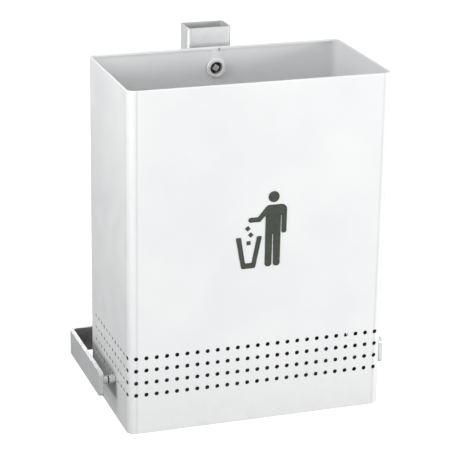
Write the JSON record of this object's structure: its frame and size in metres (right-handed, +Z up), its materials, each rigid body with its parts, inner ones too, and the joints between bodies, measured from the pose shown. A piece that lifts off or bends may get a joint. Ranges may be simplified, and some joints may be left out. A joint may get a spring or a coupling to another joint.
{
  "type": "dog waste bin",
  "caption": "Open-topped sheet-metal litter bin hung in a wall bracket; a square-key cam lock frees it to tip forward about low side pivots for emptying.",
  "frame": {"origin": "middle of the back post's wall face", "axes": "+Z up, +Y into the wall, so the bin faces -Y; +X is to the right of someone facing the bin"},
  "size_m": [0.422, 0.2667, 0.506],
  "materials": {
    "white_coat": "satin white powder coat",
    "grey_coat": "satin silver-grey metallic coat",
    "zinc_steel": "zinc plated",
    "lock_chrome": "satin chrome",
    "dark_steel": "dark, oiled",
    "sign_ink": "matt film",
    "black_rubber": "moulded",
    "dark_nylon": "moulded"
  },
  "bodies": {
    "bracket": {"back_post": "grey_coat", "yoke_bar": "grey_coat", "pivot_boss_left": "zinc_steel", "pivot_boss_right": "zinc_steel", "pivot_screw_left": "zinc_steel", "pivot_screw_right": "zinc_steel", "pivot_washer_left": "dark_nylon", "pivot_washer_right": "dark_nylon", "rest_buffer_left": "black_rubber", "rest_buffer_right": "black_rubber"},
    "bin": {"bin_shell": "white_coat", "bin_floor": "white_coat", "pivot_bush_left": "zinc_steel", "pivot_bush_right": "zinc_steel", "lock_housing": "lock_chrome", "lock_nut": "zinc_steel", "sign_head": "sign_ink", "sign_body": "sign_ink", "sign_basket": "sign_ink", "sign_litter_1": "sign_ink", "sign_litter_2": "sign_ink", "sign_litter_3": "sign_ink"},
    "lock": {"lock_driver": "dark_steel", "lock_cam": "zinc_steel", "cam_washer": "zinc_steel", "cam_screw": "zinc_steel"}
  },
  "joints": [
    {"name": "bin_tilt", "type": "hinge", "parent": "bracket", "child": "bin", "pos_m": [0, -0.196, -0.213], "axis": [1, 0, 0], "range_deg": [0, 165]},
    {"name": "lock_turn", "type": "hinge", "parent": "bin", "child": "lock", "pos_m": [0, -0.0687, 0.1865], "axis": [0, 1, 0], "range_deg": [0, 90]}
  ]
}
